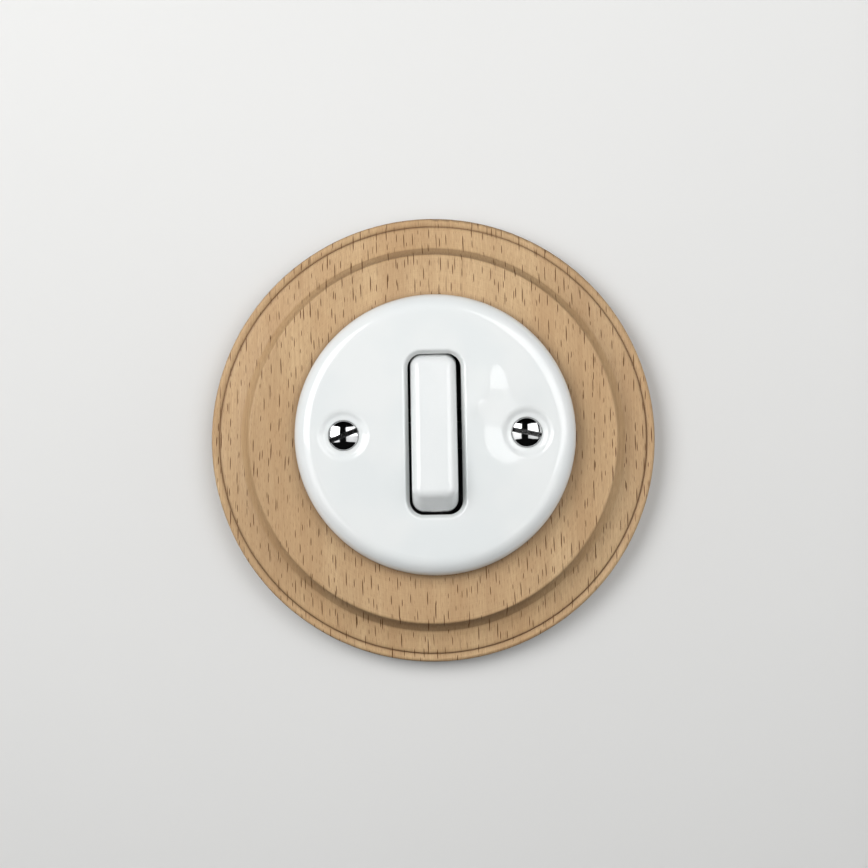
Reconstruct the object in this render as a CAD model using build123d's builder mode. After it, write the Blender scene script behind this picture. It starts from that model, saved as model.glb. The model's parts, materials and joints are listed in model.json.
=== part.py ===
from build123d import *
import os
from collections import namedtuple
from math import asin, atan2, cos, degrees, hypot, radians, sin, sqrt, tan

os.makedirs("parts", exist_ok=True)

# A flush wall switch: turned wooden frame, ceramic cover, rocker and a two-way switching mechanism.
# Millimetres and degrees. The wall is the plane y = 0, the room lies towards -y and z is up.
# A height is a distance in front of the wall, so what sits inside the wall box has a negative one.

# Turned frame, from the table's edge outwards: cove, hollow, ovolo, quirk and bead. A lean is a slope's fall.
frame_radius = 68.0
frame_thickness = 14.0
frame_pillar_gap = 0.5
frame_recess_depth = 4.6
frame_back_chamfer = 0.8
table_radius = 55.4
table_edge_round = 0.9
cove_top_lean = 75.0
cove_radius = 11.0
cove_foot_lean = 50.0
cove_foot_round = 1.2
hollow_lean = 22.0
ovolo_width = 1.9
ovolo_drop = 0.5
quirk_width = 0.25
quirk_depth = 0.6
moulding_depth = 6.9
bead_edge_round = 1.0
bead_flank_radius = 2.6
bead_flank_lean = 35.0

# Mounting plate: the frame hangs on it by the play between its recess and the plate's edge
plate_margin = 2.0
plate_thickness = 1.2
frame_play = 1.3
frame_hang_gap = 0.05
frame_hang_turn = 30.0
box_screw_spacing = 60.0
box_slot_length = 7.0
box_slot_radius = 1.8

# Ceramic cover
cover_radius = 42.5
cover_height = 8.5
cover_rim_round = 5.4
cover_foot_round = 1.0
cover_foot_width = 4.3
cover_face_thickness = 4.5
cover_cavity_round = 1.5
boss_radius = 6.4
boss_gap = 0.4

# Cover screws and the pillars that they enter
screw_spacing = 55.0
screw_shank_radius = 1.95
screw_head_radius = 4.6
screw_head_rim = 0.1
screw_head_bevel = 0.35
screw_dome_height = 1.15
screw_slot_width = 1.45
screw_slot_depth = 1.35
screw_tip_height = 4.0
screw_tip_chamfer = 0.4
screw_slot_turns = (21.0, -12.0)
screw_hole_clearance = 0.35
screw_thread_clearance = 0.05
screw_seat_gap = 0.02
countersink_radius = 4.8
dish_radius = 8.2
dish_depth = 0.9
dish_land = 0.3
pillar_radius = 4.0
pillar_height = 10.8
pillar_rivet_radius = 2.8
rivet_clearance = 0.02

# Rocker opening in the cover
opening_width = 16.0
opening_length = 48.4
opening_corner = 4.3
opening_lip_run = 1.1
opening_lip_depth = 1.9
opening_lip_round = 0.9
opening_land = 0.2
opening_relief = 1.6

# Rocker, measured from its pivot. At rest its upper end is pressed in.
pivot_height = 9.5
rocker_tilt = 8.0
rocker_side_gap = 1.1
rocker_side_shift = -0.3
rocker_end_gap = 0.65
rocker_end_draft = 25.0
rocker_rise = 3.9
rocker_knee = 9.0
rocker_skirt = 2.5
rocker_corner = 3.6
rocker_edge_round = 3.1
rocker_wall = 2.0
rocker_crown_thickness = 2.5
rocker_rib = 1.8
rib_skirt_gap = 1.5

# Cradle on the pivot pin
pin_radius = 1.5
pin_clearance = 0.04
pin_press_clearance = 0.01
cradle_width = 16.4
cradle_end_play = 1.0
hub_radius = 4.2
block_length = 16.8
block_side_clearance = 0.2
block_rib_clearance = 0.1
block_corner = 1.2
block_pocket_wall = 1.6
block_pocket_depth = 7.0
nose_reach = 0.7
nose_width = 4.0
nose_thickness = 1.6
nose_drop = 3.0
nose_clearance = 0.2
barrel_radius = 4.0
barrel_length = 9.0
barrel_floor = 0.9

# Plunger and its spring
plunger_radius = 2.6
plunger_clearance = 0.05
plunger_wall = 0.55
plunger_reach = 13.0
plunger_length = 7.6
spring_wire_radius = 0.2
spring_clearance = 0.1
spring_turns = 5

# Seesaw contact: its lower arm is closed at rest
bridge_tilt = 7.5
bridge_width = 5.0
bridge_thickness = 0.8
bridge_half_length = 13.0
hump_radius = 2.6
plunger_pass_gap = 0.1
fulcrum_clearance = 0.05
pad_arm = 11.0
pad_radius = 1.7
pad_rim = 0.4
pad_dome_radius = 3.0
contact_gap = 0.1
fixed_pad_radius = 2.0
fixed_pad_height = 0.9
strip_thickness = 0.9
strip_width = 5.0
strip_length = 5.4
tab_length = 5.0
slot_clearance = 0.05

# Moulded mechanism: lid with the bearing cheeks, base behind it
module_width = 31.0
module_length = 46.0
module_corner = 4.0
lid_thickness = 3.0
cheek_thickness = 3.0
cheek_foot = 16.0
cheek_round = 3.6
barrel_stop_gap = 0.3
plate_window_clearance = 0.5
base_depth = 22.0
base_wall = 2.3
base_floor = 3.0
base_edge_round = 1.2
chamber_clearance = 2.5
chamber_length = 34.0
core_length = 25.0
core_corner = 1.5

# Screws through plate and lid into the base
mech_screw_x = 12.2
mech_screw_z = 19.0
mech_screw_radius = 1.45
mech_screw_clearance = 0.15
mech_screw_thread_clearance = 0.05
mech_screw_depth = 12.0
mech_head_radius = 2.75
mech_head_height = 1.9
mech_head_round = 0.8
mech_slot_width = 0.8
mech_slot_depth = 1.0

# Terminals
block_size = 8.0
block_depth = 9.5
block_clearance = 0.15
block_edge_chamfer = 0.5
terminal_spacing = 13.5
wire_radius = 1.7
wire_depth = 8.5
terminal_screw_radius = 1.45
terminal_thread_clearance = 0.05
terminal_tip_gap = 0.1
terminal_head_radius = 2.8
terminal_head_height = 2.2
terminal_slot_width = 0.9
terminal_slot_depth = 1.1
terminal_drive_clearance = 0.4

# Heights and places that follow from the sizes above
cover_face = frame_thickness + cover_height
cavity_ceiling = cover_face - cover_face_thickness
opening_land_height = cover_face - opening_lip_depth
relief_depth = cover_face_thickness - opening_lip_depth - opening_land
dish_floor = cover_face - dish_depth
screw_x = screw_spacing / 2
plate_radius = max(screw_x + pillar_radius, (box_screw_spacing + box_slot_length) / 2) + plate_margin
frame_sag = frame_play - frame_hang_gap
frame_x = -frame_sag * sin(radians(frame_hang_turn))
frame_z = -frame_sag * cos(radians(frame_hang_turn))
recess_radius = plate_radius + frame_play
frame_bore_radius = screw_x + pillar_radius + frame_sag + frame_pillar_gap
rocker_top = cover_face - pivot_height + rocker_rise
rocker_ceiling = rocker_top - rocker_crown_thickness
rocker_base = rocker_knee - rocker_skirt
rocker_width = opening_width - 2 * rocker_side_gap
end_reach = hypot(opening_length / 2, opening_land_height - pivot_height) - rocker_end_gap
cheek_inner = (cradle_width + cradle_end_play) / 2
cheek_outer = cheek_inner + cheek_thickness
bridge_height = pivot_height - plunger_reach - plunger_pass_gap - hump_radius
fulcrum_radius = hump_radius - bridge_thickness - fulcrum_clearance
pad_height = pad_rim + pad_dome_radius - sqrt(pad_dome_radius**2 - pad_radius**2)
dome_centre = pad_dome_radius - pad_height
dome_height = bridge_height - pad_arm * sin(radians(bridge_tilt)) + dome_centre * cos(radians(bridge_tilt))
fixed_pad_z = pad_arm * cos(radians(bridge_tilt)) + dome_centre * sin(radians(bridge_tilt))
fixed_pad_top = dome_height - pad_dome_radius - contact_gap
strip_top = fixed_pad_top - fixed_pad_height
chamber_floor = strip_top - strip_thickness
terminal_ceiling = chamber_floor - base_floor
base_back = -lid_thickness - base_depth
mech_screw_places = [(x, z) for x in (-mech_screw_x, mech_screw_x) for z in (-mech_screw_z, mech_screw_z)]
terminal_places = (terminal_spacing, 0.0, -terminal_spacing)

# Planes. On the wall planes x is right, y is up and the normal points into the room.
# On the section planes x is right and y is the height. On the side plane x is up and y is the height.
SIDE = Plane(origin=(0, 0, 0), x_dir=(0, 0, 1), z_dir=(1, 0, 0))
LeaningPlanes = namedtuple("LeaningPlanes", "front side section out")


def wall_plane(height, x=0.0, z=0.0, turn=0.0):
    along = (cos(radians(turn)), 0, sin(radians(turn)))
    return Plane(origin=(x, -height, z), x_dir=along, z_dir=(0, -1, 0))


def section_plane(x=0.0, z=0.0):
    return Plane(origin=(x, 0, z), x_dir=(1, 0, 0), z_dir=(0, 0, -1))


def wall_axis(x=0.0, z=0.0):
    return Axis((x, 0, z), (0, -1, 0))


def leaning_planes(x, height, lean, up_offset=0.0):
    """Planes of a piece that leans about X, its upper end into the wall for a positive lean."""
    up = Vector(0, sin(radians(lean)), cos(radians(lean)))
    out = Vector(0, -cos(radians(lean)), sin(radians(lean)))
    origin = Vector(x, -height, 0) + up * up_offset
    return LeaningPlanes(
        Plane(origin=origin, x_dir=(1, 0, 0), z_dir=out),
        Plane(origin=origin, x_dir=up, z_dir=(1, 0, 0)),
        Plane(origin=origin, x_dir=(1, 0, 0), z_dir=-up),
        Axis(origin, out),
    )


def rocker_half_length(height):
    """Half the rocker's length where its sloped end stands this far in front of the pivot."""
    draft = radians(rocker_end_draft)
    return (end_reach - height * sin(draft)) / cos(draft)


rocker_planes = leaning_planes(rocker_side_shift, pivot_height, rocker_tilt)
bridge_planes = leaning_planes(0.0, bridge_height, -bridge_tilt)


# Wooden frame: one turned profile, hanging a little low and to the left on the mounting plate
bead_crown_height = frame_thickness - moulding_depth
bead_lean = radians(bead_flank_lean)
quirk_floor = Vector(
    frame_radius - bead_edge_round - bead_flank_radius * sin(bead_lean),
    bead_crown_height - bead_flank_radius * (1 - cos(bead_lean)),
)
ovolo_edge = quirk_floor + Vector(-quirk_width, quirk_depth)
ovolo_crest = ovolo_edge + Vector(-ovolo_width, ovolo_drop)
with BuildPart() as wooden_frame:
    with BuildSketch(section_plane(frame_x, frame_z)):
        with BuildLine():
            back = Polyline(
                (recess_radius, 0),
                (frame_radius - frame_back_chamfer, 0),
                (frame_radius, frame_back_chamfer),
                (frame_radius, bead_crown_height - bead_edge_round),
            )
            bead = JernArc(start=back @ 1, tangent=(0, 1), radius=bead_edge_round, arc_size=90)
            JernArc(start=bead @ 1, tangent=bead % 1, radius=bead_flank_radius, arc_size=bead_flank_lean)
            table = Line((frame_bore_radius, frame_thickness), (table_radius, frame_thickness))
            arris = JernArc(start=table @ 1, tangent=(1, 0), radius=table_edge_round, arc_size=-cove_top_lean)
            cove_bend = cove_top_lean - cove_foot_lean
            cove = JernArc(start=arris @ 1, tangent=arris % 1, radius=cove_radius, arc_size=cove_bend)
            foot_bend = cove_foot_lean - hollow_lean
            foot = JernArc(start=cove @ 1, tangent=cove % 1, radius=cove_foot_round, arc_size=foot_bend)
            hollow = TangentArc(foot @ 1, ovolo_crest, tangent=foot % 1)
            TangentArc(hollow @ 1, ovolo_edge, tangent=hollow % 1)
            Line(ovolo_edge, quirk_floor)
            Polyline(
                table @ 0,
                (frame_bore_radius, frame_recess_depth),
                (recess_radius, frame_recess_depth),
                back @ 0,
            )
        make_face()
    revolve(axis=wall_axis(frame_x, frame_z))
wooden_frame.part.label = "wooden_frame"


# Ceramic cover: turned body with a hollow back, rocker opening with a soft lip, dished screw seats
dish_run = dish_radius - countersink_radius - dish_land
dish_bend = (dish_run**2 + dish_depth**2) / (4 * dish_depth)
dish_sweep = degrees(asin(dish_run / (2 * dish_bend)))
screw_hole_radius = screw_shank_radius + screw_hole_clearance
cavity_radius = cover_radius - cover_foot_width
with BuildPart() as ceramic_cover:
    with BuildSketch(section_plane()):
        with BuildLine():
            foot = Line((cavity_radius, frame_thickness), (cover_radius - cover_foot_round, frame_thickness))
            toe = JernArc(start=foot @ 1, tangent=(1, 0), radius=cover_foot_round, arc_size=90)
            wall = Line(toe @ 1, (cover_radius, cover_face - cover_rim_round))
            rim = JernArc(start=wall @ 1, tangent=(0, 1), radius=cover_rim_round, arc_size=90)
            face = Polyline(rim @ 1, (0, cover_face), (0, cavity_ceiling))
            ceiling = Line(face @ 1, (cavity_radius - cover_cavity_round, cavity_ceiling))
            JernArc(start=ceiling @ 1, tangent=(1, 0), radius=cover_cavity_round, arc_size=-90)
            Line((cavity_radius, cavity_ceiling - cover_cavity_round), foot @ 0)
        make_face()
    revolve(axis=wall_axis())
    for x in (-screw_x, screw_x):
        with BuildSketch(wall_plane(frame_thickness + boss_gap, x)):
            Circle(boss_radius)
        extrude(until=Until.NEXT)
    with BuildSketch(wall_plane(cavity_ceiling)):
        RectangleRounded(opening_width, opening_length, opening_corner)
    extrude(amount=cover_face_thickness, mode=Mode.SUBTRACT)
    with BuildSketch(wall_plane(cover_face)):
        RectangleRounded(
            opening_width + 2 * opening_lip_run,
            opening_length + 2 * opening_lip_run,
            opening_corner + opening_lip_run,
        )
    lip_taper = degrees(atan2(opening_lip_run, opening_lip_depth))
    extrude(amount=-opening_lip_depth, taper=lip_taper, mode=Mode.SUBTRACT)
    front_face = ceramic_cover.faces().sort_by(Axis.Y)[0]
    fillet(front_face.inner_wires()[0].edges(), opening_lip_round)
    with BuildSketch(wall_plane(cavity_ceiling)):
        RectangleRounded(
            opening_width + 2 * opening_relief,
            opening_length + 2 * opening_relief,
            opening_corner + opening_relief,
        )
    extrude(amount=relief_depth, taper=degrees(atan2(opening_relief, relief_depth)), mode=Mode.SUBTRACT)
    for x in (-screw_x, screw_x):
        with BuildSketch(section_plane(x)):
            with BuildLine():
                start = Polyline(
                    (0, cover_face + dish_depth),
                    (dish_radius, cover_face + dish_depth),
                    (dish_radius, cover_face),
                )
                edge = JernArc(start=start @ 1, tangent=(-1, 0), radius=dish_bend, arc_size=dish_sweep)
                bowl = JernArc(start=edge @ 1, tangent=edge % 1, radius=dish_bend, arc_size=-dish_sweep)
                Polyline(
                    bowl @ 1,
                    (countersink_radius, dish_floor),
                    (screw_hole_radius, dish_floor - countersink_radius + screw_hole_radius),
                    (screw_hole_radius, frame_thickness),
                    (0, frame_thickness),
                    start @ 0,
                )
            make_face()
        revolve(axis=wall_axis(x), mode=Mode.SUBTRACT)
ceramic_cover.part.label = "ceramic_cover"


# Cover screws: slotted raised countersunk heads, each turned as it was tightened
head_height = dish_floor - (countersink_radius - screw_head_radius) + screw_seat_gap
bevel_foot = head_height + screw_head_rim
dome_foot = bevel_foot + screw_head_bevel
dome_reach = screw_head_radius - screw_head_bevel
dome_radius = (dome_reach**2 + screw_dome_height**2) / (2 * screw_dome_height)
dome_sweep = degrees(asin(dome_reach / dome_radius))
with BuildPart() as cover_screws:
    for x, turn in zip((-screw_x, screw_x), screw_slot_turns):
        with BuildSketch(section_plane(x)):
            with BuildLine():
                crown = JernArc(
                    start=(0, dome_foot + screw_dome_height),
                    tangent=(1, 0),
                    radius=dome_radius,
                    arc_size=-dome_sweep,
                )
                Polyline(
                    crown @ 1,
                    (screw_head_radius, bevel_foot),
                    (screw_head_radius, head_height),
                    (screw_shank_radius, head_height - screw_head_radius + screw_shank_radius),
                    (screw_shank_radius, screw_tip_height + screw_tip_chamfer),
                    (screw_shank_radius - screw_tip_chamfer, screw_tip_height),
                    (0, screw_tip_height),
                    crown @ 0,
                )
            make_face()
        revolve(axis=wall_axis(x))
        with BuildSketch(wall_plane(dome_foot + screw_dome_height, x, turn=turn)):
            Rectangle(3 * screw_head_radius, screw_slot_width)
        extrude(amount=-screw_slot_depth, mode=Mode.SUBTRACT)
cover_screws.part.label = "cover_screws"


# Mounting plate: window for the bearing cheeks, radial slots for the box screws
with BuildPart() as mounting_plate:
    with BuildSketch(wall_plane(0)):
        Circle(plate_radius)
        Rectangle(
            2 * (cheek_outer + plate_window_clearance),
            cheek_foot + 2 * plate_window_clearance,
            mode=Mode.SUBTRACT,
        )
        with Locations((0, box_screw_spacing / 2), (0, -box_screw_spacing / 2)):
            SlotOverall(box_slot_length, 2 * box_slot_radius, rotation=90, mode=Mode.SUBTRACT)
        with Locations((-screw_x, 0), (screw_x, 0)):
            Circle(pillar_rivet_radius + rivet_clearance, mode=Mode.SUBTRACT)
        with Locations(mech_screw_places):
            Circle(mech_screw_radius + mech_screw_clearance, mode=Mode.SUBTRACT)
    extrude(amount=plate_thickness)
mounting_plate.part.label = "mounting_plate"


# Pillars: riveted into the plate, threaded for the cover screws
with BuildPart() as screw_pillars:
    for x in (-screw_x, screw_x):
        with BuildSketch(wall_plane(0, x)):
            Circle(pillar_rivet_radius)
        extrude(amount=plate_thickness)
        with BuildSketch(wall_plane(plate_thickness, x)):
            Circle(pillar_radius)
        extrude(amount=pillar_height)
        with BuildSketch(wall_plane(0, x)):
            Circle(screw_shank_radius + screw_thread_clearance)
        extrude(amount=plate_thickness + pillar_height, mode=Mode.SUBTRACT)
screw_pillars.part.label = "screw_pillars"


# Rocker: sloped ends, rounded crown, hollow below, with two ribs that grip the cradle's block
rib_offset = (block_length + rocker_rib) / 2 + block_rib_clearance
cavity_width = rocker_width - 2 * rocker_wall
cavity_corner = rocker_corner - rocker_wall
nose_height = rocker_ceiling - nose_drop
with BuildPart() as rocker:
    with BuildSketch(rocker_planes.front.offset(rocker_base)):
        RectangleRounded(rocker_width, 2 * rocker_half_length(rocker_knee), rocker_corner)
    extrude(amount=rocker_skirt)
    for height in (rocker_knee, rocker_top):
        with BuildSketch(rocker_planes.front.offset(height)):
            RectangleRounded(rocker_width, 2 * rocker_half_length(height), rocker_corner)
    loft(ruled=True)
    fillet(rocker.faces().sort_by(rocker_planes.out)[-1].edges(), rocker_edge_round)
    with BuildSketch(rocker_planes.front.offset(rocker_base)):
        RectangleRounded(cavity_width, 2 * (rocker_half_length(rocker_knee) - rocker_wall), cavity_corner)
    extrude(amount=rocker_skirt, mode=Mode.SUBTRACT)
    for height in (rocker_knee, rocker_ceiling):
        with BuildSketch(rocker_planes.front.offset(height)):
            RectangleRounded(cavity_width, 2 * (rocker_half_length(height) - rocker_wall), cavity_corner)
    loft(ruled=True, mode=Mode.SUBTRACT)
    with BuildSketch(rocker_planes.front.offset(rocker_base + rib_skirt_gap)):
        with Locations((0, rib_offset), (0, -rib_offset)):
            Rectangle(cavity_width, rocker_rib)
    extrude(amount=rocker_ceiling - rocker_base - rib_skirt_gap)
    with BuildSketch(rocker_planes.front.offset(nose_height - nose_thickness / 2 - nose_clearance)):
        with Locations((0, rib_offset), (0, -rib_offset)):
            Rectangle(nose_width + 2 * nose_clearance, rocker_rib)
    extrude(amount=nose_thickness + 2 * nose_clearance, mode=Mode.SUBTRACT)
rocker.part.label = "rocker"


# Cradle: hub on the pin, block with snap noses for the rocker, barrel for the plunger
block_width = cavity_width - 2 * block_side_clearance
bore_floor = pin_radius + pin_clearance + barrel_floor
with BuildPart() as rocker_cradle:
    with BuildSketch(rocker_planes.side.offset(-cradle_width / 2)):
        Circle(hub_radius)
    extrude(amount=cradle_width)
    with BuildSketch(rocker_planes.front):
        RectangleRounded(block_width, block_length, block_corner)
    extrude(amount=rocker_ceiling)
    with BuildSketch(rocker_planes.front.offset(nose_height - nose_thickness / 2)):
        Rectangle(nose_width, block_length + 2 * nose_reach)
    extrude(amount=nose_thickness)
    with BuildSketch(rocker_planes.front.offset(rocker_ceiling)):
        Rectangle(block_width - 2 * block_pocket_wall, block_length - 2 * block_pocket_wall)
    extrude(amount=-block_pocket_depth, mode=Mode.SUBTRACT)
    with BuildSketch(rocker_planes.front):
        Circle(barrel_radius)
    extrude(amount=-barrel_length)
    with BuildSketch(rocker_planes.front.offset(-barrel_length)):
        Circle(plunger_radius + plunger_clearance)
    extrude(amount=barrel_length - bore_floor, mode=Mode.SUBTRACT)
    with BuildSketch(rocker_planes.side.offset(-cradle_width / 2)):
        Circle(pin_radius + pin_clearance)
    extrude(amount=cradle_width, mode=Mode.SUBTRACT)
rocker_cradle.part.label = "rocker_cradle"


# Pivot pin: pressed into the cheeks, free in the cradle
with BuildPart() as pivot_pin:
    with BuildSketch(SIDE.offset(-cheek_outer)):
        with Locations((0, pivot_height)):
            Circle(pin_radius)
    extrude(amount=2 * cheek_outer)
pivot_pin.part.label = "pivot_pin"


# Plunger: a thimble with a round nose that rides over the bridge's hump
plunger_bore = plunger_radius - plunger_wall
plunger_open_end = plunger_length - plunger_reach
plunger_shoulder = plunger_radius - plunger_reach
with BuildPart() as plunger:
    with BuildSketch(rocker_planes.section):
        with BuildLine():
            nose = JernArc(start=(0, -plunger_reach), tangent=(1, 0), radius=plunger_radius, arc_size=90)
            Polyline(
                nose @ 1,
                (plunger_radius, plunger_open_end),
                (plunger_bore, plunger_open_end),
                (plunger_bore, plunger_shoulder),
                (0, plunger_shoulder),
                nose @ 0,
            )
        make_face()
    revolve(axis=rocker_planes.out)
plunger.part.label = "plunger"


# Plunger spring: from the thimble's floor to the floor of the cradle's bore
coil_radius = plunger_bore - spring_clearance - spring_wire_radius
coil_length = -bore_floor - plunger_shoulder - 2 * spring_wire_radius
coil_start = rocker_planes.front.offset(plunger_shoulder + spring_wire_radius).origin
with BuildPart() as plunger_spring:
    with BuildLine():
        coil = Helix(
            pitch=coil_length / spring_turns,
            height=coil_length,
            radius=coil_radius,
            center=coil_start,
            direction=rocker_planes.front.z_dir,
        )
    with BuildSketch(Plane(origin=coil @ 0, z_dir=coil % 0)):
        Circle(spring_wire_radius)
    sweep()
plunger_spring.part.label = "plunger_spring"


# Contact bridge: a strip bent over the fulcrum
with BuildPart() as contact_bridge:
    with BuildSketch(bridge_planes.side.offset(-bridge_width / 2)):
        Circle(hump_radius)
        with Locations((0, -hump_radius)):
            Rectangle(2 * hump_radius, 2 * hump_radius, mode=Mode.SUBTRACT)
        with Locations((0, bridge_thickness / 2)):
            Rectangle(2 * bridge_half_length, bridge_thickness)
        Circle(fulcrum_radius + fulcrum_clearance, mode=Mode.SUBTRACT)
    extrude(amount=bridge_width)
contact_bridge.part.label = "contact_bridge"


# Moving contact pads: domed, one under each arm of the bridge
with BuildPart() as moving_contact_pads:
    for arm in (-pad_arm, pad_arm):
        pad_planes = leaning_planes(0.0, bridge_height, -bridge_tilt, arm)
        with BuildSketch(pad_planes.section):
            with BuildLine():
                rim_line = Polyline((0, 0), (pad_radius, 0), (pad_radius, -pad_rim))
                pad_dome = RadiusArc(rim_line @ 1, (0, -pad_height), pad_dome_radius)
                Line(pad_dome @ 1, rim_line @ 0)
            make_face()
        revolve(axis=pad_planes.out)
moving_contact_pads.part.label = "moving_contact_pads"


# Fulcrum post: the common contact, standing on its terminal block through the base's floor
with BuildPart() as fulcrum_post:
    with BuildSketch(SIDE.offset(-strip_width / 2)):
        with Locations((0, bridge_height)):
            Circle(fulcrum_radius)
        with Locations((0, (bridge_height + terminal_ceiling) / 2)):
            Rectangle(2 * fulcrum_radius, bridge_height - terminal_ceiling)
    extrude(amount=strip_width)
fulcrum_post.part.label = "fulcrum_post"


# Fixed contact strips: on the chamber's floor, each with a tab down the inner side of its terminal block
tab_z = terminal_spacing - block_size / 2 - strip_thickness
tab_foot = terminal_ceiling - tab_length


def contact_strip(side):
    with BuildPart() as strip:
        with BuildSketch(SIDE.offset(-strip_width / 2)):
            with BuildLine():
                Polyline(
                    (side * tab_z, strip_top),
                    (side * (tab_z + strip_length), strip_top),
                    (side * (tab_z + strip_length), chamber_floor),
                    (side * (tab_z + strip_thickness), chamber_floor),
                    (side * (tab_z + strip_thickness), tab_foot),
                    (side * tab_z, tab_foot),
                    close=True,
                )
            make_face()
        extrude(amount=strip_width)
    return strip


upper_contact_strip = contact_strip(1)
upper_contact_strip.part.label = "upper_contact_strip"
lower_contact_strip = contact_strip(-1)
lower_contact_strip.part.label = "lower_contact_strip"


# Fixed contact pads
with BuildPart() as fixed_contact_pads:
    with BuildSketch(wall_plane(strip_top)):
        with Locations((0, fixed_pad_z), (0, -fixed_pad_z)):
            Circle(fixed_pad_radius)
    extrude(amount=fixed_pad_height)
fixed_contact_pads.part.label = "fixed_contact_pads"


# Terminal blocks: wire bore from the back, clamping screw from the top, the left side and the bottom
block_back = terminal_ceiling - block_depth
clamp_height = terminal_ceiling - block_depth / 2
# Each clamp: the block's z and the direction from its middle to the screw's head
clamps = [(terminal_spacing, (0, 0, 1)), (0.0, (-1, 0, 0)), (-terminal_spacing, (0, 0, -1))]


def clamp_plane(z, direction, distance):
    """Plane square to a clamping screw, this far from its block's middle and facing its head."""
    return Plane(origin=Vector(0, -clamp_height, z) + Vector(direction) * distance, z_dir=direction)


with BuildPart() as terminal_blocks:
    with BuildSketch(wall_plane(block_back)):
        for z in terminal_places:
            with Locations((0, z)):
                Rectangle(block_size, block_size)
    extrude(amount=block_depth)
    chamfer(terminal_blocks.faces().filter_by(Axis.Y).sort_by(Axis.Y)[-3:].edges(), block_edge_chamfer)
    with BuildSketch(wall_plane(block_back)):
        for z in terminal_places:
            with Locations((0, z)):
                Circle(wire_radius)
    extrude(amount=wire_depth, mode=Mode.SUBTRACT)
    for z, direction in clamps:
        with BuildSketch(clamp_plane(z, direction, 0)):
            Circle(terminal_screw_radius + terminal_thread_clearance)
        extrude(amount=block_size / 2, mode=Mode.SUBTRACT)
terminal_blocks.part.label = "terminal_blocks"


# Terminal screws: slotted, with the tip just clear of the wire bore
with BuildPart() as terminal_screws:
    for z, direction in clamps:
        with BuildSketch(clamp_plane(z, direction, wire_radius + terminal_tip_gap)):
            Circle(terminal_screw_radius)
        extrude(amount=block_size / 2 - wire_radius - terminal_tip_gap)
        with BuildSketch(clamp_plane(z, direction, block_size / 2)):
            Circle(terminal_head_radius)
        extrude(amount=terminal_head_height)
        with BuildSketch(clamp_plane(z, direction, block_size / 2 + terminal_head_height)):
            Rectangle(3 * terminal_head_radius, terminal_slot_width)
        extrude(amount=-terminal_slot_depth, mode=Mode.SUBTRACT)
terminal_screws.part.label = "terminal_screws"


# Mechanism lid: flange behind the plate, with the bearing cheeks through the plate's window
lean = radians(rocker_tilt)
window_length = 2 * (barrel_radius * cos(lean) + barrel_length * sin(lean) + barrel_stop_gap)
window_width = 2 * (barrel_radius + abs(rocker_side_shift) + barrel_stop_gap)
with BuildPart() as mechanism_lid:
    with BuildSketch(wall_plane(-lid_thickness)):
        RectangleRounded(module_width, module_length, module_corner)
        Rectangle(window_width, window_length, mode=Mode.SUBTRACT)
        with Locations(mech_screw_places):
            Circle(mech_screw_radius + mech_screw_clearance, mode=Mode.SUBTRACT)
    extrude(amount=lid_thickness)
    for x in (-cheek_outer, cheek_inner):
        with BuildSketch(SIDE.offset(x)):
            with Locations((0, pivot_height)):
                Circle(cheek_round)
            with Locations((0, -lid_thickness / 2)):
                Rectangle(cheek_foot, lid_thickness)
            make_hull()
            with Locations((0, pivot_height)):
                Circle(pin_radius + pin_press_clearance, mode=Mode.SUBTRACT)
        extrude(amount=cheek_thickness)
mechanism_lid.part.label = "mechanism_lid"


# Mechanism base: contact chamber in front, terminal pockets and moulding cores open at the back
pocket_size = block_size + 2 * block_clearance
core_inner = pocket_size / 2 + base_wall
core_width = module_width / 2 - base_wall - core_inner
chamber_width = bridge_width + 2 * chamber_clearance
drive_radius = terminal_head_radius + terminal_drive_clearance
with BuildPart() as mechanism_base:
    with BuildSketch(wall_plane(base_back)):
        RectangleRounded(module_width, module_length, module_corner)
    extrude(amount=base_depth)
    fillet(mechanism_base.faces().sort_by(Axis.Y)[-1].edges(), base_edge_round)
    with BuildSketch(wall_plane(chamber_floor)):
        Rectangle(chamber_width, chamber_length)
    extrude(amount=-lid_thickness - chamber_floor, mode=Mode.SUBTRACT)
    with BuildSketch(wall_plane(terminal_ceiling)):
        Rectangle(strip_width + 2 * slot_clearance, 2 * (fulcrum_radius + slot_clearance))
        with Locations((0, tab_z + strip_thickness / 2), (0, -tab_z - strip_thickness / 2)):
            Rectangle(strip_width + 2 * slot_clearance, strip_thickness + 2 * slot_clearance)
    extrude(amount=base_floor, mode=Mode.SUBTRACT)
    with BuildSketch(wall_plane(base_back)):
        for z in terminal_places:
            with Locations((0, z)):
                Rectangle(pocket_size, pocket_size)
        with Locations((0, tab_z), (0, -tab_z)):
            Rectangle(strip_width + 2 * slot_clearance, 2 * strip_thickness + 2 * slot_clearance)
        with Locations((core_inner + core_width / 2, 0), (-core_inner - core_width / 2, 0)):
            RectangleRounded(core_width, core_length, core_corner)
    extrude(amount=terminal_ceiling - base_back, mode=Mode.SUBTRACT)
    for z, direction in clamps:
        with BuildSketch(clamp_plane(z, direction, block_size / 2)):
            Circle(drive_radius)
        extrude(amount=module_length, mode=Mode.SUBTRACT)
    with BuildSketch(wall_plane(-mech_screw_depth)):
        with Locations(mech_screw_places):
            Circle(mech_screw_radius + mech_screw_thread_clearance)
    extrude(amount=mech_screw_depth - lid_thickness, mode=Mode.SUBTRACT)
mechanism_base.part.label = "mechanism_base"


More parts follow.
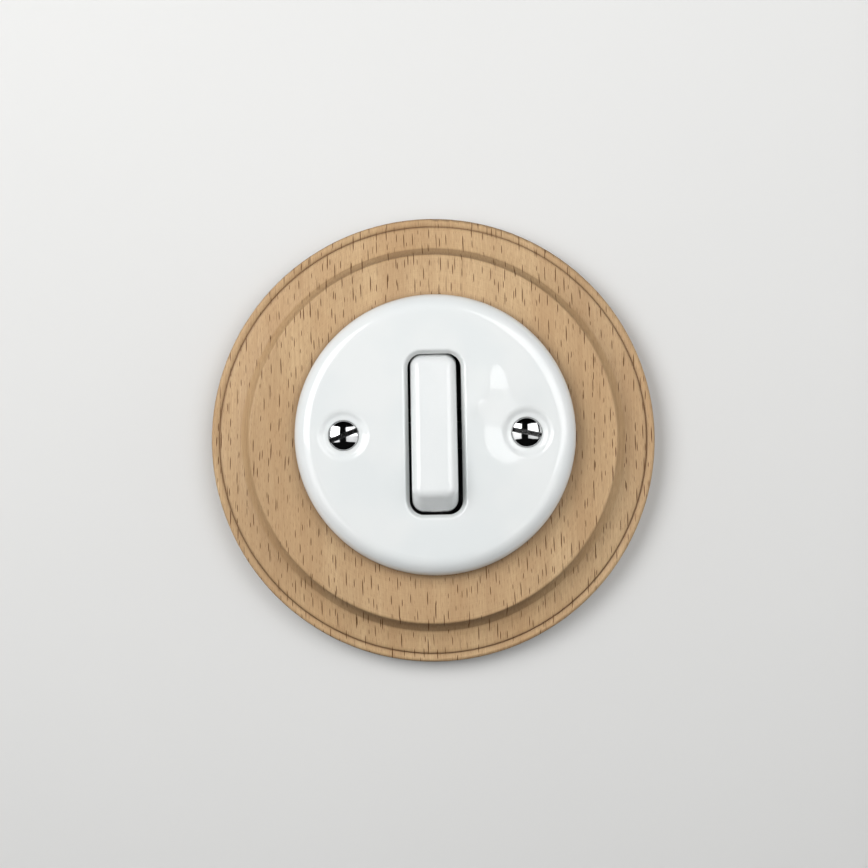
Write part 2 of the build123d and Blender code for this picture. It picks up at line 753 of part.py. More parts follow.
# Mechanism screws: slotted pan heads on the plate
mech_head_top = plate_thickness + mech_head_height
with BuildPart() as mechanism_screws:
    for x, z in mech_screw_places:
        with BuildSketch(section_plane(x, z)):
            with BuildLine():
                shank = Polyline(
                    (0, -mech_screw_depth),
                    (mech_screw_radius, -mech_screw_depth),
                    (mech_screw_radius, plate_thickness),
                    (mech_head_radius, plate_thickness),
                    (mech_head_radius, mech_head_top - mech_head_round),
                )
                shoulder = JernArc(start=shank @ 1, tangent=(0, 1), radius=mech_head_round, arc_size=90)
                Polyline(shoulder @ 1, (0, mech_head_top), shank @ 0)
            make_face()
        revolve(axis=wall_axis(x, z))
        with BuildSketch(wall_plane(mech_head_top, x, z)):
            Rectangle(3 * mech_head_radius, mech_slot_width)
        extrude(amount=-mech_slot_depth, mode=Mode.SUBTRACT)
mechanism_screws.part.label = "mechanism_screws"


for piece in (
    wooden_frame,
    ceramic_cover,
    cover_screws,
    mounting_plate,
    screw_pillars,
    rocker,
    rocker_cradle,
    pivot_pin,
    plunger,
    plunger_spring,
    contact_bridge,
    moving_contact_pads,
    fulcrum_post,
    upper_contact_strip,
    lower_contact_strip,
    fixed_contact_pads,
    terminal_blocks,
    terminal_screws,
    mechanism_lid,
    mechanism_base,
    mechanism_screws,
):
    export_step(piece.part, f"parts/{piece.part.label}.step")
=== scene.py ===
"""Looks of a flush wall switch: beech frame, glazed ceramic cover, white rocker, chrome screws and the
mechanism behind them."""

import json
from math import cos, exp, pi, radians, sin, tan

import bmesh
import bpy
from mathutils import Matrix, Vector


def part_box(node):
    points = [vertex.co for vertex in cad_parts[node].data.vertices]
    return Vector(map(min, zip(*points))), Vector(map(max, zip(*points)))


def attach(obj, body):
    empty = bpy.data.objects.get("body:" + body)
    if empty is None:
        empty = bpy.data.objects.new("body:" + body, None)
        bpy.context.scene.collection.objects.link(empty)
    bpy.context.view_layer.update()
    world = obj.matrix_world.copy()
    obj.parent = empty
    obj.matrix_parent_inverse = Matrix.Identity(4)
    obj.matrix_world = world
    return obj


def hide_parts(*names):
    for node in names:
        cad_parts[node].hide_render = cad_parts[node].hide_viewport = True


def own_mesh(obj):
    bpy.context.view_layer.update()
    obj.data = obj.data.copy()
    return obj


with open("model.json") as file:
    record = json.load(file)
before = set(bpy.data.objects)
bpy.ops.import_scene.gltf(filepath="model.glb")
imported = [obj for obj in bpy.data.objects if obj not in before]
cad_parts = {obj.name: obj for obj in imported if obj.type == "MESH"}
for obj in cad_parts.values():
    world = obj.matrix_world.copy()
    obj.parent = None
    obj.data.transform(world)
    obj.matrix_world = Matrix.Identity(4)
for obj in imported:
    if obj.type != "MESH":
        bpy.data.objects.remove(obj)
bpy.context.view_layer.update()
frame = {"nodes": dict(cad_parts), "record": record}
scene = bpy.context.scene

# Places that follow from the frame, in metres. The wall is y = 0 and the room lies towards -y.
frame_low, frame_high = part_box("wooden_frame")
cover_low, cover_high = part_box("ceramic_cover")
frame_centre = (frame_low + frame_high) / 2
cover_centre = (cover_low + cover_high) / 2
frame_radius = (frame_high.x - frame_low.x) / 2
cover_foot = cover_high.y
MM = 0.001

# Camera: a long lens a little below the switch, rolled as the picture was taken, in metres and degrees,
# with the lens and its sensor in millimetres
CAMERA_DISTANCE = 0.636
CAMERA_ELEVATION = -2.2
CAMERA_ROLL = 1.03
CAMERA_LENS = 87.36
CAMERA_SENSOR = 36.0
# What it looks at: a point in front of the wall, a little off the cover's middle to the side and up
AIM_HEIGHT = 0.017
AIM_SHIFT = (-0.00037, 0.00017)

# Stage: a pale wall panel with a hole behind the frame, a pale floor, and a dark screen behind the soft
# boxes, in metres. The hole is a share of the frame's radius.
WALL_HALF = 0.2
WALL_GAP = 0.0002
WALL_HOLE = 0.985
WALL_SIDES = 96
FLOOR_DROP = 1.5
FLOOR_HALF = 40.0
SCREEN_RADIUS = 1.4
SCREEN_SEGMENTS = (48, 24)
WALL_COLOUR = (0.74, 0.74, 0.73)
FLOOR_COLOUR = (0.72, 0.72, 0.71)
SCREEN_COLOUR = (0.012, 0.012, 0.012)
FLOOR_GLOW = 0.95
# The stage throws less light back on the switch than its own colours would
BOUNCE_COLOUR = (0.12, 0.12, 0.12)
MOTTLE_SCALE = 9.0
MOTTLE_SHADE = 0.97

# Soft boxes in front, by the angles that they span as seen from the switch (left, right, down and up in
# degrees), and their brightness, where 1 is white
BOX_DISTANCE = 0.9
BOX_SPREAD = 120.0
SOFT_BOXES = {
    "left_upper": ((-56.0, -20.0, 0.0, 37.0), 7.0),
    "left_lower": ((-56.0, -20.0, -24.0, 0.0), 1.8),
    "right_upper": ((8.0, 52.0, 0.0, 37.0), 3.5),
    "right_lower": ((8.0, 52.0, -24.0, 0.0), 1.35),
    "left_side": ((-88.0, -62.0, -30.0, 40.0), 0.8),
    "right_side": ((57.0, 88.0, -30.0, 40.0), 1.1),
}
# Soft boxes behind the wall, by place and brightness
BACK_BOXES = {
    "back_right": ((0.8, 0.9, 0.4), 9.0),
    "back_left": ((-0.9, 0.8, 0.6), 9.0),
}
BACK_SIZE = 0.8
BACK_SPREAD = 70.0
# World: dim for the object, pale as a background
WORLD_FILL = (0.02, 0.021, 0.0215)
WORLD_SHOWN = (0.72, 0.73, 0.74)

# The middle of a noise, the range that most of it lies in, and the rays that look for crevices
NOISE_MIDDLE = (0.5, 0.5, 0.5)
NOISE_RANGE = (0.3, 0.7)
CREVICE_SAMPLES = 4
# How strongly glaze, plastic and lacquer bend light
GLOSS_IOR = 1.6

# The wood's colours, and the painted shade for its hollows, creases and the groove beside the bead
WOOD = {
    "dark_band": (0.515, 0.342, 0.183),
    "light_band": (0.65, 0.459, 0.257),
    "blotch": (0.53, 0.315, 0.15),
    "fibre": (0.40, 0.245, 0.122),
    "thread": (0.38, 0.22, 0.1),
    "pore": (0.28, 0.145, 0.06),
    "end_grain": (0.17, 0.1, 0.05),
    "ray": (0.085, 0.028, 0.007),
    # painted shade for the moulding's hollows
    "hollow_shade": (0.2, 0.135, 0.085),
    "turning": (0.33, 0.2, 0.1),
    # painted shade for creases, seams and the groove beside the bead
    "crease_shade": (0.13, 0.06, 0.022),
}
# How far the grain wanders across, into and along the wood, in millimetres
GRAIN_WANDER = (6.0, 4.0, 0.0)
# Flecks in the wood: shift of their grid, size of its boxes, half width and half length, in millimetres
RAYS = ((0.0, 0.0, 0.0), (2.6, 19.0, 8.2), 0.145, 2.5)
SHORT_RAYS = ((13.0, 5.0, 41.0), (3.3, 23.0, 5.4), 0.13, 1.5)
PORES = ((31.0, 7.0, 3.0), (0.9, 9.0, 2.8), 0.09, 0.8)
# How the flecks differ: place in their box, width and length as shares of the full ones
FLECK_ASIDE = (0.2, 0.8)
FLECK_UP = (0.35, 0.65)
FLECK_WIDTH = (0.75, 1.2)
FLECK_LENGTH = (0.5, 1.2)
# Where a fleck's edge fades, and the random numbers from which a fleck shows faintly and fully
FLECK_EDGE = (0.4, 1.1)
FLECK_SHOWN = (0.2, 0.45)
# How much of their colour the wood's features show at most
RAY_STRENGTH = 0.95
PORE_STRENGTH = 0.5
FIBRE_STRENGTH = 0.32
BLOTCH_STRENGTH = 0.35
TURNING_STRENGTH = 0.14
END_GRAIN_STRENGTH = 0.5
# Painted shade in the fine groove beside the frame's bead: its distance from the frame's axis, where the
# shade fades out to either side, and at which y it fades out towards the wall, in millimetres, and how
# strong it is
QUIRK_RADIUS = 65.4
QUIRK_REACH = (0.1, 0.7)
QUIRK_FRONT = (-3.0, -2.0)
QUIRK_SHADE = 0.42

# The glaze's colours, the last one painted shade for its corners, and how far from the cover's foot it thins
# out and ends, in millimetres
GLAZE = {
    "dim": (0.795, 0.825, 0.825),
    "bright": (0.83, 0.85, 0.845),
    "speck": (0.55, 0.5, 0.43),
    "bare": (0.74, 0.71, 0.65),
    "corner": (0.36, 0.34, 0.3),
}
BARE_FOOT = (0.9, 0.3)
# Where the glaze stands up or sinks in: place to the right of and above the cover's middle, reach to the
# side and up, and height, in millimetres
GLAZE_POOLS = (
    ((16.4, 14.0), (2.3, 4.0), 0.65),
    ((12.4, 8.6), (1.8, 2.2), 0.5),
    ((27.8, 0.0), (6.5, 6.5), -1.35),
    ((-27.8, 0.0), (3.6, 3.6), 0.25),
)
# The height of a bell curve at one reach from its middle
BELL_AT_REACH = exp(-0.5)

# Chrome: its polished face and hairlines, and the cut slot's painted shade, near black with brighter
# chatter marks; the slot is rougher too
CHROME = {
    "face": (0.64, 0.645, 0.65),
    "hairline": (0.59, 0.595, 0.6),
    "slot": (0.004, 0.004, 0.004),
    "chatter": (0.18, 0.18, 0.18),
}
SLOT_ROUGHNESS = 0.35

# Plastics and lacquer: light and dark tone, roughness, and depth of the skin's grain in millimetres.
# Their corners get painted shade, a share of the dark tone, and the skin is rougher in places.
MOULDINGS = {
    "white_plastic": ((0.83, 0.85, 0.85), (0.80, 0.825, 0.825), 0.16, 0.004),
    "black_plastic": ((0.045, 0.045, 0.047), (0.03, 0.03, 0.032), 0.38, 0.012),
    "black_steel": ((0.03, 0.03, 0.032), (0.018, 0.018, 0.02), 0.3, 0.008),
}
MOULDING_CORNER_SHADE = 0.4
SKIN_ROUGHNESS = 0.12
# Metals: bright and tarnished tone, roughness, and streaks per millimetre along each axis. Their corners
# have a share of the tarnished tone, and clouds and corners are rougher.
METALS = {
    "steel": ((0.6, 0.6, 0.6), (0.42, 0.42, 0.43), 0.22, (6.0, 6.0, 0.6)),
    "zinc_steel": ((0.68, 0.69, 0.68), (0.52, 0.53, 0.54), 0.26, (0.5, 5.0, 5.0)),
    "brass": ((0.80, 0.60, 0.29), (0.60, 0.40, 0.17), 0.2, (4.0, 0.7, 4.0)),
    "copper": ((0.83, 0.50, 0.34), (0.60, 0.31, 0.19), 0.25, (5.0, 5.0, 0.6)),
    "silver": ((0.86, 0.86, 0.84), (0.66, 0.65, 0.62), 0.2, (3.0, 3.0, 3.0)),
}
METAL_CORNER = 0.35
CLOUD_ROUGHNESS = 0.15
CORNER_ROUGHNESS = 0.25


class Graph:
    """Short calls that build the node tree of a material or a world."""

    def __init__(self, owner):
        owner.use_nodes = True
        self.owner = owner
        self.tree = owner.node_tree
        self.shader = self.tree.nodes.get("Principled BSDF")

    def add(self, kind, inputs=None, **settings):
        node = self.tree.nodes.new(kind)
        for name, value in settings.items():
            setattr(node, name, value)
        for socket, value in (inputs or {}).items():
            self.put(node.inputs[socket], value)
        return node

    def put(self, socket, value):
        """Links a socket to another one, or sets its number, vector or colour."""
        if isinstance(value, bpy.types.NodeSocket):
            self.tree.links.new(value, socket)
        elif socket.type == "RGBA":
            socket.default_value = (*value, 1.0)
        else:
            socket.default_value = value

    def set(self, **values):
        """Sets inputs of the shader by name, with underscores for spaces."""
        for name, value in values.items():
            self.put(self.shader.inputs[name.replace("_", " ")], value)

    def millimetres(self):
        """The piece's own coordinates in millimetres."""
        coordinates = self.add("ShaderNodeTexCoord").outputs["Object"]
        return self.vector("SCALE", coordinates, scale=1 / MM)

    def vector(self, operation, first, second=None, scale=None):
        node = self.add("ShaderNodeVectorMath", {0: first}, operation=operation)
        if second is not None:
            self.put(node.inputs[1], second)
        if scale is not None:
            self.put(node.inputs["Scale"], scale)
        return node.outputs["Value" if operation in ("LENGTH", "DOT_PRODUCT") else "Vector"]

    def math(self, operation, first, second=0.0, third=0.0):
        inputs = {0: first, 1: second, 2: third}
        return self.add("ShaderNodeMath", inputs, operation=operation).outputs[0]

    def split(self, vector):
        return self.add("ShaderNodeSeparateXYZ", {0: vector}).outputs

    def join(self, x, y, z=0.0):
        return self.add("ShaderNodeCombineXYZ", {0: x, 1: y, 2: z}).outputs[0]

    def noise(self, vector, scale, detail=2.0, roughness=0.5, output="Fac"):
        """Soft noise, with one scale for all directions or one for each axis, in waves per unit."""
        if isinstance(scale, tuple):
            vector, scale = self.vector("MULTIPLY", vector, scale), 1.0
        inputs = {"Vector": vector, "Scale": scale, "Detail": detail, "Roughness": roughness}
        return self.add("ShaderNodeTexNoise", inputs).outputs[output]

    def random(self, vector):
        """A random number for each place, and three more as parts of a colour."""
        node = self.add("ShaderNodeTexWhiteNoise", {"Vector": vector}, noise_dimensions="3D")
        return (node.outputs["Value"], *self.split(node.outputs["Color"]))

    def remap(self, value, low, high, to_low=0.0, to_high=1.0, kind="SMOOTHSTEP"):
        inputs = {"Value": value, "From Min": low, "From Max": high, "To Min": to_low, "To Max": to_high}
        return self.add("ShaderNodeMapRange", inputs, interpolation_type=kind).outputs["Result"]

    def between(self, share, low, high):
        """Goes straight from low to high as the share goes from 0 to 1."""
        return self.remap(share, 0.0, 1.0, low, high, "LINEAR")

    def spread(self, noise, low=0.0, high=1.0):
        """Goes smoothly from low to high over the range that most of a noise lies in."""
        return self.remap(noise, *NOISE_RANGE, low, high)

    def crevice(self, reach, deep, open_face, strength):
        """The strength where a face lies deep in a crevice, fading to 0 on an open face."""
        node = self.add("ShaderNodeAmbientOcclusion", {"Distance": reach}, samples=CREVICE_SAMPLES)
        return self.remap(node.outputs["AO"], deep, open_face, strength, 0.0)

    def blend(self, factor, first, second):
        """The first colour where the factor is 0, and the second where it is 1."""
        inputs = {0: factor, 6: first, 7: second}
        return self.add("ShaderNodeMix", inputs, data_type="RGBA").outputs[2]

    def bump(self, height, depth, strength, normal=None):
        inputs = {"Height": height, "Distance": depth, "Strength": strength}
        if normal is not None:
            inputs["Normal"] = normal
        return self.add("ShaderNodeBump", inputs).outputs["Normal"]

    def seen(self):
        """1 for what the camera sees, straight or in a mirror or glass, and 0 for light on a surface."""
        path = self.add("ShaderNodeLightPath").outputs
        mirrored = self.math("MAXIMUM", path["Is Glossy Ray"], path["Is Transmission Ray"])
        return self.math("MAXIMUM", path["Is Camera Ray"], mirrored)


def scaled(values, factor):
    return tuple(factor * value for value in values)


def wood_grain(graph, place):
    """Coordinates that follow the grain, which runs upright and wanders a little."""
    drift = graph.noise(place, (0.012, 0.012, 0.014), detail=1.0, output="Color")
    drift = graph.vector("SUBTRACT", drift, NOISE_MIDDLE)
    return graph.vector("ADD", place, graph.vector("MULTIPLY", drift, GRAIN_WANDER))


def flecks(graph, grain, shift, cell, half_width, half_length):
    """Spindle-shaped flecks along the grain, one in each box of a grid, placed and sized at random."""
    part = graph.split(graph.vector("DIVIDE", graph.vector("ADD", grain, shift), cell))
    column = graph.math("FLOOR", part[0])
    layer = graph.math("FLOOR", part[1])
    height = graph.math("ADD", part[2], graph.random(graph.join(column, layer))[0])
    box = graph.join(column, layer, graph.math("FLOOR", height))
    strength, aside, up, size = graph.random(box)
    aside = graph.math("SUBTRACT", graph.math("FRACT", part[0]), graph.between(aside, *FLECK_ASIDE))
    up = graph.math("SUBTRACT", graph.math("FRACT", height), graph.between(up, *FLECK_UP))
    width = graph.between(size, *scaled(FLECK_WIDTH, half_width))
    length = graph.between(size, *scaled(FLECK_LENGTH, half_length))
    across = graph.math("DIVIDE", graph.math("MULTIPLY", aside, cell[0]), width)
    along = graph.math("DIVIDE", graph.math("MULTIPLY", up, cell[2]), length)
    from_middle = graph.math("ADD", graph.math("POWER", across, 2.0), graph.math("POWER", along, 2.0))
    inside = graph.remap(from_middle, *FLECK_EDGE, 1.0, 0.0)
    return graph.math("MULTIPLY", inside, graph.remap(strength, *FLECK_SHOWN, kind="LINEAR"))


def growth(graph, place, grain, fibre):
    """The wood's own colour: soft growth bands, reddish blotches, and fibres of two widths."""
    band = graph.noise(grain, (0.11, 0.05, 0.008), detail=3.0)
    blotch = graph.noise(place, (0.05, 0.05, 0.03))
    thread = graph.noise(grain, (4.0, 0.8, 0.3))
    wood = graph.blend(graph.spread(band), WOOD["dark_band"], WOOD["light_band"])
    wood = graph.blend(graph.remap(blotch, 0.35, 0.75, 0.0, BLOTCH_STRENGTH), wood, WOOD["blotch"])
    wood = graph.blend(graph.spread(fibre, FIBRE_STRENGTH, 0.0), wood, WOOD["fibre"])
    return graph.blend(graph.spread(thread, FIBRE_STRENGTH, 0.0), wood, WOOD["thread"])


def turning_lines_and_shade(graph, wood, place):
    """Painted shade in hollows, creases and the bead's groove, and the lathe's fine lines round the axis."""
    from_axis = graph.vector("SUBTRACT", place, tuple(frame_centre / MM))
    radius = graph.vector("LENGTH", graph.vector("MULTIPLY", from_axis, (1.0, 0.0, 1.0)))
    across_turn = graph.join(radius, 0.0)
    lines = graph.noise(across_turn, 2.4, detail=3.0)
    rings = graph.remap(graph.noise(across_turn, 3.2, detail=1.0), 0.52, 0.66)
    # Painted shade: darker where the wood lies deep in a hollow, by how enclosed it is, broken up by rings
    corner = graph.crevice(reach=5 * MM, deep=0.3, open_face=0.85, strength=0.5)
    hollow_shade = graph.math("MULTIPLY", corner, graph.remap(rings, 0.0, 1.0, 0.8, 1.4))
    wood = graph.blend(hollow_shade, wood, WOOD["hollow_shade"])
    wood = graph.blend(graph.remap(lines, 0.35, 0.65, TURNING_STRENGTH, 0.0), wood, WOOD["turning"])
    # Painted shade in creases and seams, and in the groove beside the bead up to where it fades towards the
    # wall
    crease_shade = graph.crevice(reach=1.8 * MM, deep=0.35, open_face=0.92, strength=0.55)
    from_quirk = graph.math("ABSOLUTE", graph.math("SUBTRACT", radius, QUIRK_RADIUS))
    front = graph.remap(graph.split(place)[1], *QUIRK_FRONT, 1.0, 0.0)
    groove = graph.math("MULTIPLY", front, graph.remap(from_quirk, *QUIRK_REACH, QUIRK_SHADE, 0.0))
    return graph.blend(graph.math("MAXIMUM", crease_shade, groove), wood, WOOD["crease_shade"]), lines


def beech():
    """Oiled beech, flat sawn with the grain upright and turned: short dark rays, pores and turning lines."""
    graph = Graph(bpy.data.materials.new("beech"))
    place = graph.millimetres()
    grain = wood_grain(graph, place)
    facing = graph.split(graph.add("ShaderNodeTexCoord").outputs["Normal"])
    # Flecks fade on faces that look sideways, and faces that look up or down are end grain
    sawn = graph.remap(graph.math("ABSOLUTE", facing[0]), 0.5, 0.9, 1.0, 0.1)
    end_grain = graph.remap(graph.math("ABSOLUTE", facing[2]), 0.4, 0.98, 0.0, END_GRAIN_STRENGTH)
    rays = graph.math("MAXIMUM", flecks(graph, grain, *RAYS), flecks(graph, grain, *SHORT_RAYS))
    rays = graph.math("MULTIPLY", rays, sawn)
    pores = graph.math("MULTIPLY", flecks(graph, grain, *PORES), sawn)
    fibre = graph.noise(grain, (2.2, 0.5, 0.05), detail=3.0)
    wood = growth(graph, place, grain, fibre)
    wood = graph.blend(graph.math("MULTIPLY", pores, PORE_STRENGTH), wood, WOOD["pore"])
    wood = graph.blend(end_grain, wood, WOOD["end_grain"])
    wood = graph.blend(graph.math("MULTIPLY", rays, RAY_STRENGTH), wood, WOOD["ray"])
    wood, lines = turning_lines_and_shade(graph, wood, place)
    normal = graph.bump(lines, depth=0.05 * MM, strength=0.35)
    normal = graph.bump(fibre, depth=0.03 * MM, strength=0.5, normal=normal)
    sunk = graph.math("SUBTRACT", 1.0, rays)
    normal = graph.bump(sunk, depth=0.06 * MM, strength=0.6, normal=normal)
    graph.set(Base_Color=wood, Normal=normal, Roughness=graph.spread(fibre, 0.62, 0.48))
    graph.set(Specular_IOR_Level=graph.remap(rays, 0.0, 1.0, 0.35, 0.1))
    return graph.owner


def glaze_pools(graph, place):
    """The height of the glaze's pools and hollows in millimetres, each a bell-shaped swelling."""
    pooled = 0.0
    for (aside, up), (reach_aside, reach_up), height in GLAZE_POOLS:
        middle = (cover_centre.x / MM + aside, 0.0, cover_centre.z / MM + up)
        offset = graph.vector("SUBTRACT", place, middle)
        offset = graph.vector("MULTIPLY", offset, (1 / reach_aside, 0.0, 1 / reach_up))
        swelling = graph.math("POWER", BELL_AT_REACH, graph.vector("DOT_PRODUCT", offset, offset))
        pooled = graph.math("MULTIPLY_ADD", swelling, height, pooled)
    return pooled


def white_glaze():
    """Glossy white glaze that lies a little unevenly, bare on the foot, with painted shade in its corners.
    """
    graph = Graph(bpy.data.materials.new("white_glaze"))
    place = graph.millimetres()
    swell = graph.noise(place, 0.07, detail=1.0)
    ripple = graph.noise(place, 0.45)
    speck = graph.noise(place, 3.5, detail=1.0)
    bare_from, bare_to = (cover_foot / MM - height for height in BARE_FOOT)
    bare = graph.remap(graph.split(place)[1], bare_from, bare_to)
    # Painted shade: darker where the glaze lies deep in a corner, by how enclosed it is
    corner = graph.crevice(reach=2.5 * MM, deep=0.45, open_face=0.92, strength=0.22)
    tone = graph.blend(graph.spread(swell), GLAZE["dim"], GLAZE["bright"])
    tone = graph.blend(graph.remap(speck, 0.74, 0.8, 0.0, 0.12), tone, GLAZE["speck"])
    tone = graph.blend(bare, tone, GLAZE["bare"])
    tone = graph.blend(corner, tone, GLAZE["corner"])
    normal = graph.bump(swell, depth=0.2 * MM, strength=0.5)
    normal = graph.bump(glaze_pools(graph, place), depth=MM, strength=1.0, normal=normal)
    normal = graph.bump(ripple, depth=0.02 * MM, strength=0.35, normal=normal)
    graph.set(Base_Color=tone, Normal=normal, IOR=GLOSS_IOR, Roughness=graph.between(bare, 0.07, 0.75))
    return graph.owner


def chrome():
    """Polished chrome with fine hairlines, and painted shade with brighter chatter in the rougher cut slot.
    """
    graph = Graph(bpy.data.materials.new("chrome"))
    place = graph.millimetres()
    wave = graph.noise(place, 0.5, detail=1.0)
    hair = graph.noise(place, (14.0, 2.0, 3.0))
    chatter = graph.noise(place, 2.4, detail=3.0, roughness=0.6)
    # Painted shade: the slot is found by how enclosed it is and darkened near black, with brighter chatter
    slot = graph.crevice(reach=1.3 * MM, deep=0.5, open_face=0.85, strength=1.0)
    slot_edge = graph.crevice(reach=0.5 * MM, deep=0.6, open_face=0.95, strength=0.9)
    cut = graph.math("MAXIMUM", slot, slot_edge)
    face = graph.blend(graph.remap(hair, 0.4, 0.8), CHROME["face"], CHROME["hairline"])
    shaded_slot = graph.blend(graph.remap(chatter, 0.5, 0.68), CHROME["slot"], CHROME["chatter"])
    graph.set(Base_Color=graph.blend(cut, face, shaded_slot), Metallic=1.0)
    graph.set(Normal=graph.bump(graph.blend(cut, wave, chatter), depth=0.04 * MM, strength=0.4))
    shine = graph.remap(hair, 0.35, 0.75, 0.03, 0.09)
    graph.set(Roughness=graph.math("MULTIPLY_ADD", cut, SLOT_ROUGHNESS, shine))
    return graph.owner


def moulding(name, light, dark, roughness, grain_depth):
    """Moulded plastic or lacquer: faint flow marks, a fine skin, and painted shade in the corners."""
    graph = Graph(bpy.data.materials.new(name))
    place = graph.millimetres()
    flow = graph.noise(place, (0.1, 0.1, 0.04), detail=3.0)
    skin = graph.noise(place, 4.5, detail=3.0, roughness=0.6)
    # Painted shade: darker where the face lies deep in a corner, by how enclosed it is
    corner = graph.crevice(reach=5 * MM, deep=0.4, open_face=0.95, strength=0.5)
    tone = graph.blend(graph.spread(flow), dark, light)
    graph.set(Base_Color=graph.blend(corner, tone, scaled(dark, MOULDING_CORNER_SHADE)), IOR=GLOSS_IOR)
    graph.set(Roughness=graph.spread(skin, roughness, roughness + SKIN_ROUGHNESS))
    graph.set(Normal=graph.bump(skin, depth=grain_depth * MM, strength=0.5))
    return graph.owner


def metal(name, bright, tarnished, roughness, streaks):
    """Plain or plated metal: drawn or rolled streaks, clouds, and duller tarnish in the corners."""
    graph = Graph(bpy.data.materials.new(name))
    place = graph.millimetres()
    lines = graph.noise(place, streaks, detail=3.0)
    cloud = graph.noise(place, 0.22, detail=4.0, roughness=0.6)
    corner = graph.crevice(reach=1.5 * MM, deep=0.3, open_face=0.75, strength=0.55)
    tone = graph.blend(graph.remap(cloud, 0.3, 0.72), bright, tarnished)
    tone = graph.blend(graph.remap(lines, 0.35, 0.75, 0.0, 0.35), tone, tarnished)
    tone = graph.blend(corner, tone, scaled(tarnished, METAL_CORNER))
    graph.set(Base_Color=tone, Metallic=1.0)
    graph.set(Normal=graph.bump(lines, depth=0.02 * MM, strength=0.5))
    dull = graph.spread(cloud, roughness, roughness + CLOUD_ROUGHNESS)
    graph.set(Roughness=graph.math("MULTIPLY_ADD", corner, CORNER_ROUGHNESS, dull))
    return graph.owner


def dress_nodes():
    """Gives every CAD node the material of its slot in the record."""
    finishes = {"beech": beech(), "white_glaze": white_glaze(), "chrome": chrome()}
    for name, look in MOULDINGS.items():
        finishes[name] = moulding(name, *look)
    for name, look in METALS.items():
        finishes[name] = metal(name, *look)
    for row in frame["record"]["subparts"]:
        mesh = frame["nodes"][row["node"]].data
        mesh.materials.clear()
        mesh.materials.append(finishes[row["material_slot"]])


def sprung_coil():
    """A copy of the plunger's spring with a mesh of its own, hung on the rocker assembly in place of the
    hidden CAD node.
    """
    node = frame["nodes"]["plunger_spring"]
    coil = bpy.data.objects.new("sprung_coil", node.data.copy())
    scene.collection.objects.link(coil)
    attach(coil, "rocker_assembly")
    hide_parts("plunger_spring")
    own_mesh(coil)


def stage_material(name, tone, one_sided=False, glow=0.0):
    """A matt surface that throws little light back on the switch, and may glow as a background.

    A one-sided one is clear from behind, so that the mechanism can be seen there.
    """
    graph = Graph(bpy.data.materials.new(name))
    mottle = graph.noise(graph.add("ShaderNodeTexCoord").outputs["Object"], MOTTLE_SCALE, detail=3.0)
    pale = graph.blend(mottle, scaled(tone, MOTTLE_SHADE), tone)
    seen = graph.seen()
    graph.set(Base_Color=graph.blend(seen, BOUNCE_COLOUR, pale), Roughness=0.9, Specular_IOR_Level=0.2)
    if glow:
        graph.set(Emission_Color=pale, Emission_Strength=graph.math("MULTIPLY", seen, glow))
    if one_sided:
        behind = graph.add("ShaderNodeNewGeometry").outputs["Backfacing"]
        clear = graph.add("ShaderNodeBsdfTransparent").outputs[0]
        sides = {0: behind, 1: graph.shader.outputs[0], 2: clear}
        both = graph.add("ShaderNodeMixShader", sides).outputs[0]
        graph.put(graph.tree.nodes["Material Output"].inputs["Surface"], both)
    return graph.owner


def put_stage(name, mesh_data, surface):
    mesh = bpy.data.meshes.new(name)
    mesh_data.to_mesh(mesh)
    mesh_data.free()
    mesh.materials.append(surface)
    piece = bpy.data.objects.new(name, mesh)
    scene.collection.objects.link(piece)
    return piece


def build_wall():
    """A square wall panel that faces the room, with a round hole that the frame covers."""
    panel = bmesh.new()
    inner, outer = [], []
    for i in range(WALL_SIDES):
        turn = radians(360 * i / WALL_SIDES)
        edge = WALL_HALF / max(abs(cos(turn)), abs(sin(turn)))
        for ring, reach in ((inner, WALL_HOLE * frame_radius), (outer, edge)):
            x = frame_centre.x + reach * cos(turn)
            z = frame_centre.z + reach * sin(turn)
            ring.append(panel.verts.new((x, WALL_GAP, z)))
    for i in range(WALL_SIDES):
        j = (i + 1) % WALL_SIDES
        panel.faces.new((inner[i], outer[i], outer[j], inner[j]))
    put_stage("wall", panel, stage_material("pale_wall", WALL_COLOUR, one_sided=True))


def build_floor():
    """A wide pale floor below the switch."""
    ground = bmesh.new()
    signs = ((-1, -1), (1, -1), (1, 1), (-1, 1))
    corners = [(x * FLOOR_HALF, y * FLOOR_HALF, -FLOOR_DROP) for x, y in signs]
    ground.faces.new([ground.verts.new(c) for c in corners])
    put_stage("floor", ground, stage_material("pale_floor", FLOOR_COLOUR, glow=FLOOR_GLOW))


def build_screen():
    """A half dome on the room's side that the chrome mirrors as dark, and that the camera doesn't see."""
    dome = bmesh.new()
    around, upright = SCREEN_SEGMENTS
    bmesh.ops.create_uvsphere(dome, u_segments=around, v_segments=upright, radius=SCREEN_RADIUS)
    behind = [v for v in dome.verts if v.co.y > WALL_GAP]
    bmesh.ops.delete(dome, geom=behind, context="VERTS")
    screen = put_stage("dark_screen", dome, stage_material("dark_screen", SCREEN_COLOUR))
    screen.visible_camera = False


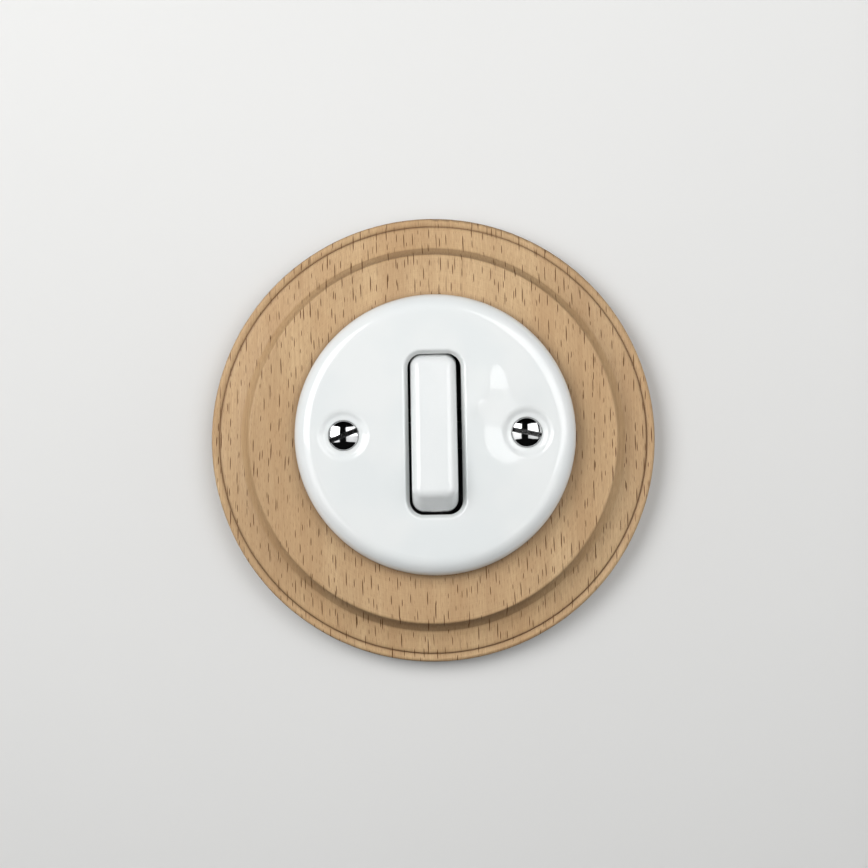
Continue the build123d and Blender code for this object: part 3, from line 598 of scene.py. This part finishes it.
def add_light(name, place, aim, width, height, brightness, spread):
    """A lamp with the given brightness straight ahead, dimmer to the sides for a small spread."""
    half = radians(spread) / 2
    lamp = bpy.data.lights.new(name, "AREA")
    lamp.shape = "RECTANGLE"
    lamp.size = width
    lamp.size_y = height
    lamp.spread = radians(spread)
    lamp.energy = brightness * pi * width * height * (1 - half / tan(half))
    piece = bpy.data.objects.new(name, lamp)
    piece.location = place
    piece.rotation_euler = (Vector(aim) - Vector(place)).to_track_quat("-Z", "Y").to_euler()
    piece.visible_camera = False
    scene.collection.objects.link(piece)


def soft_box(name, span, brightness):
    """A flat soft box facing the switch, spanning the given angles as seen from it."""
    left, right, down, up = (radians(a) for a in span)
    middle = (left + right) / 2
    width = 2 * BOX_DISTANCE * tan((right - left) / 2)
    height = BOX_DISTANCE * (tan(up) - tan(down))
    centre_up = BOX_DISTANCE * (tan(up) + tan(down)) / 2
    place = (BOX_DISTANCE * sin(middle), -BOX_DISTANCE * cos(middle), centre_up)
    add_light(name, place, (0.0, 0.0, centre_up), width, height, brightness, BOX_SPREAD)


def build_lights():
    for name, (span, brightness) in SOFT_BOXES.items():
        soft_box(name, span, brightness)
    for name, (place, brightness) in BACK_BOXES.items():
        add_light(name, place, (0.0, 0.0, 0.0), BACK_SIZE, BACK_SIZE, brightness, BACK_SPREAD)


def build_world():
    """A studio that lights the object dimly and shows as a pale background."""
    graph = Graph(bpy.data.worlds.new("studio"))
    background = graph.blend(graph.seen(), WORLD_FILL, WORLD_SHOWN)
    graph.put(graph.tree.nodes["Background"].inputs["Color"], background)
    scene.world = graph.owner


def build_camera():
    lens = bpy.data.cameras.new("camera")
    lens.lens = CAMERA_LENS
    lens.sensor_width = CAMERA_SENSOR
    lens.dof.use_dof = False
    camera = bpy.data.objects.new("camera", lens)
    tilt = radians(CAMERA_ELEVATION)
    back = Vector((0.0, -cos(tilt), sin(tilt)))
    aim = Vector((cover_centre.x + AIM_SHIFT[0], -AIM_HEIGHT, cover_centre.z + AIM_SHIFT[1]))
    turned = (-back).to_track_quat("-Z", "Y").to_matrix().to_4x4()
    camera.matrix_world = (
        Matrix.Translation(aim + back * CAMERA_DISTANCE)
        @ turned
        @ Matrix.Rotation(-radians(CAMERA_ROLL), 4, "Z")
    )
    scene.collection.objects.link(camera)
    scene.camera = camera


dress_nodes()
sprung_coil()
build_wall()
build_floor()
build_screen()
build_lights()
build_world()
build_camera()
scene.view_settings.view_transform = "Standard"
